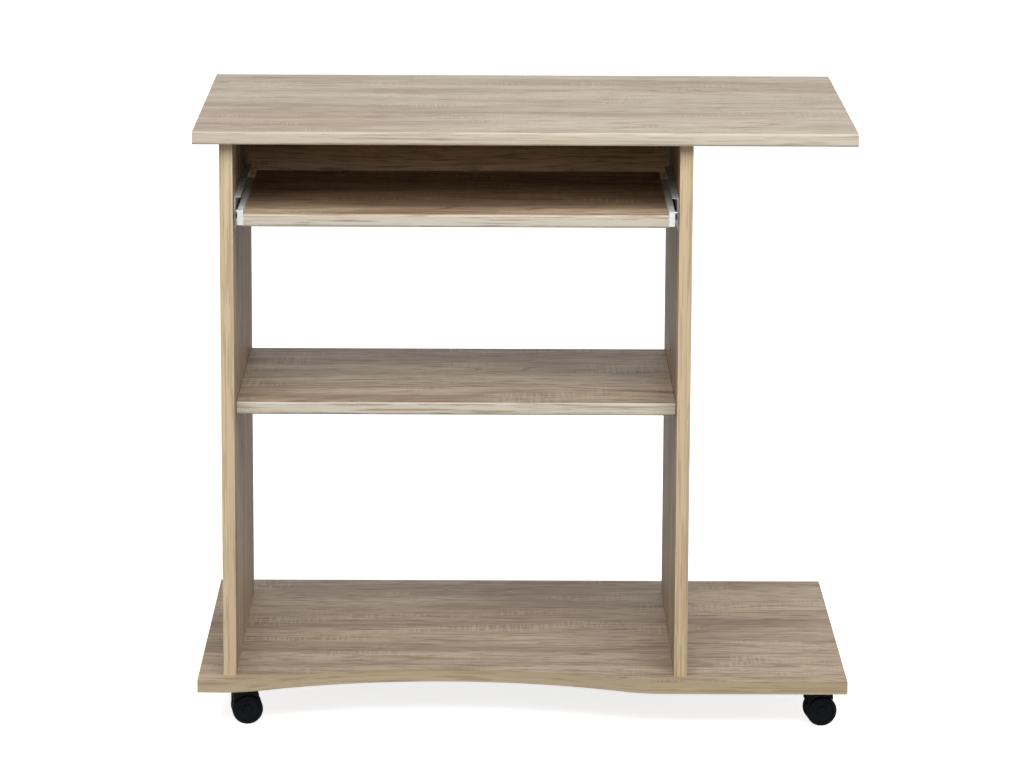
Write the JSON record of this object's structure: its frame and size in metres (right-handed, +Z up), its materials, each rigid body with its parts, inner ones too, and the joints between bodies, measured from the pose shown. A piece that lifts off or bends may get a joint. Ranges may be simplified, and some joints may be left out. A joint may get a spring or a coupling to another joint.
{
  "type": "computer desk with keyboard tray",
  "caption": "Mobile laminated desk on swivel casters with a pull-out keyboard tray, a shelf between two side panels and an open bay under one end.",
  "frame": {"origin": "on the floor, under the centre of the desktop's outline", "axes": "+X to the right end (the open side bay), +Y to the back, +Z up; the tray pulls out along -Y"},
  "size_m": [0.8, 0.5, 0.748],
  "materials": {
    "oak_laminate": "matt printed sonoma oak laminate on particle board",
    "oak_edge_band": "matt printed oak edge band",
    "slide_steel": "pale grey-white epoxy coated sheet steel",
    "roller_nylon": "natural white nylon",
    "zinc_steel": "bright zinc plated steel",
    "cam_zinc": "die-cast zinc",
    "beech": "raw beech",
    "caster_plastic": "black moulded nylon, slightly satin"
  },
  "bodies": {
    "desk": {"back_rail": "oak_laminate", "back_rail_edge_band": "oak_edge_band", "base_board": "oak_laminate", "base_board_edge_band": "oak_edge_band", "cabinet_rail_left": "slide_steel", "cabinet_rail_right": "slide_steel", "cabinet_rail_screws": "zinc_steel", "cam_bolts": "zinc_steel", "cam_locks": "cam_zinc", "caster_front_left_plate": "zinc_steel", "caster_front_left_stem": "zinc_steel", "caster_front_right_plate": "zinc_steel", "caster_front_right_stem": "zinc_steel", "caster_rear_left_plate": "zinc_steel", "caster_rear_left_stem": "zinc_steel", "caster_rear_right_plate": "zinc_steel", "caster_rear_right_stem": "zinc_steel", "caster_screws": "zinc_steel", "confirmat_screws": "zinc_steel", "desktop": "oak_laminate", "desktop_edge_band": "oak_edge_band", "front_roller_pin_left": "zinc_steel", "front_roller_pin_right": "zinc_steel", "shelf": "oak_laminate", "shelf_edge_band": "oak_edge_band", "side_panel_left": "oak_laminate", "side_panel_left_edge_band": "oak_edge_band", "side_panel_right": "oak_laminate", "side_panel_right_edge_band": "oak_edge_band", "wood_dowels": "beech"},
    "tray": {"keyboard_tray": "oak_laminate", "keyboard_tray_edge_band": "oak_edge_band", "tray_rail_left": "slide_steel", "tray_rail_right": "slide_steel", "tray_rail_screws": "zinc_steel", "rear_roller_pin_left": "zinc_steel", "rear_roller_pin_right": "zinc_steel"},
    "front_roller_left": {"front_roller_left": "roller_nylon"},
    "front_roller_right": {"front_roller_right": "roller_nylon"},
    "rear_roller_left": {"rear_roller_left": "roller_nylon"},
    "rear_roller_right": {"rear_roller_right": "roller_nylon"},
    "caster_front_left_swivel": {"caster_front_left_hood": "caster_plastic", "caster_front_left_axle": "zinc_steel"},
    "caster_front_left_wheel_near": {"caster_front_left_wheel_near": "caster_plastic"},
    "caster_front_left_wheel_far": {"caster_front_left_wheel_far": "caster_plastic"},
    "caster_front_right_swivel": {"caster_front_right_hood": "caster_plastic", "caster_front_right_axle": "zinc_steel"},
    "caster_front_right_wheel_near": {"caster_front_right_wheel_near": "caster_plastic"},
    "caster_front_right_wheel_far": {"caster_front_right_wheel_far": "caster_plastic"},
    "caster_rear_left_swivel": {"caster_rear_left_hood": "caster_plastic", "caster_rear_left_axle": "zinc_steel"},
    "caster_rear_left_wheel_near": {"caster_rear_left_wheel_near": "caster_plastic"},
    "caster_rear_left_wheel_far": {"caster_rear_left_wheel_far": "caster_plastic"},
    "caster_rear_right_swivel": {"caster_rear_right_hood": "caster_plastic", "caster_rear_right_axle": "zinc_steel"},
    "caster_rear_right_wheel_near": {"caster_rear_right_wheel_near": "caster_plastic"},
    "caster_rear_right_wheel_far": {"caster_rear_right_wheel_far": "caster_plastic"}
  },
  "joints": [
    {"name": "tray_slide", "type": "slide", "parent": "desk", "child": "tray", "axis": [0, -1, 0], "range_m": [0, 0.178]},
    {"name": "front_roller_left_spin", "type": "hinge", "parent": "desk", "child": "front_roller_left", "pos_m": [-0.3455, -0.182, 0.6396], "axis": [1, 0, 0], "continuous": true},
    {"name": "rear_roller_left_spin", "type": "hinge", "parent": "tray", "child": "rear_roller_left", "pos_m": [-0.34985, 0.012, 0.6444], "axis": [1, 0, 0], "continuous": true},
    {"name": "front_roller_right_spin", "type": "hinge", "parent": "desk", "child": "front_roller_right", "pos_m": [0.1795, -0.182, 0.6396], "axis": [1, 0, 0], "continuous": true},
    {"name": "rear_roller_right_spin", "type": "hinge", "parent": "tray", "child": "rear_roller_right", "pos_m": [0.18385, 0.012, 0.6444], "axis": [1, 0, 0], "continuous": true},
    {"name": "caster_front_left_swivel", "type": "hinge", "parent": "desk", "child": "caster_front_left_swivel", "pos_m": [-0.356, -0.2, 0.045], "axis": [0, 0, 1], "continuous": true},
    {"name": "caster_front_left_wheel_near_spin", "type": "hinge", "parent": "caster_front_left_swivel", "child": "caster_front_left_wheel_near", "pos_m": [-0.3406, -0.20894, 0.019], "axis": [-0.1392, 0.9903, 0], "continuous": true},
    {"name": "caster_front_left_wheel_far_spin", "type": "hinge", "parent": "caster_front_left_swivel", "child": "caster_front_left_wheel_far", "pos_m": [-0.34367, -0.18716, 0.019], "axis": [-0.1392, 0.9903, 0], "continuous": true},
    {"name": "caster_front_right_swivel", "type": "hinge", "parent": "desk", "child": "caster_front_right_swivel", "pos_m": [0.356, -0.2, 0.045], "axis": [0, 0, 1], "continuous": true},
    {"name": "caster_front_right_wheel_near_spin", "type": "hinge", "parent": "caster_front_right_swivel", "child": "caster_front_right_wheel_near", "pos_m": [0.37132, -0.20908, 0.019], "axis": [-0.1305, 0.9914, 0], "continuous": true},
    {"name": "caster_front_right_wheel_far_spin", "type": "hinge", "parent": "caster_front_right_swivel", "child": "caster_front_right_wheel_far", "pos_m": [0.36844, -0.18727, 0.019], "axis": [-0.1305, 0.9914, 0], "continuous": true},
    {"name": "caster_rear_left_swivel", "type": "hinge", "parent": "desk", "child": "caster_rear_left_swivel", "pos_m": [-0.356, 0.2, 0.045], "axis": [0, 0, 1], "continuous": true},
    {"name": "caster_rear_left_wheel_near_spin", "type": "hinge", "parent": "caster_rear_left_swivel", "child": "caster_rear_left_wheel_near", "pos_m": [-0.34127, 0.19, 0.019], "axis": [-0.0698, 0.9976, 0], "continuous": true},
    {"name": "caster_rear_left_wheel_far_spin", "type": "hinge", "parent": "caster_rear_left_swivel", "child": "caster_rear_left_wheel_far", "pos_m": [-0.3428, 0.21195, 0.019], "axis": [-0.0698, 0.9976, 0], "continuous": true},
    {"name": "caster_rear_right_swivel", "type": "hinge", "parent": "desk", "child": "caster_rear_right_swivel", "pos_m": [0.356, 0.2, 0.045], "axis": [0, 0, 1], "continuous": true},
    {"name": "caster_rear_right_wheel_near_spin", "type": "hinge", "parent": "caster_rear_right_swivel", "child": "caster_rear_right_wheel_near", "pos_m": [0.36899, 0.18782, 0.019], "axis": [0.0872, 0.9962, 0], "continuous": true},
    {"name": "caster_rear_right_wheel_far_spin", "type": "hinge", "parent": "caster_rear_right_swivel", "child": "caster_rear_right_wheel_far", "pos_m": [0.3709, 0.20974, 0.019], "axis": [0.0872, 0.9962, 0], "continuous": true}
  ],
  "couplings": [
    {"joint": "front_roller_left_spin", "follows": "tray_slide", "rad_per_m": 129.87},
    {"joint": "rear_roller_left_spin", "follows": "tray_slide", "rad_per_m": 83.333},
    {"joint": "front_roller_right_spin", "follows": "tray_slide", "rad_per_m": 129.87},
    {"joint": "rear_roller_right_spin", "follows": "tray_slide", "rad_per_m": 83.333}
  ]
}
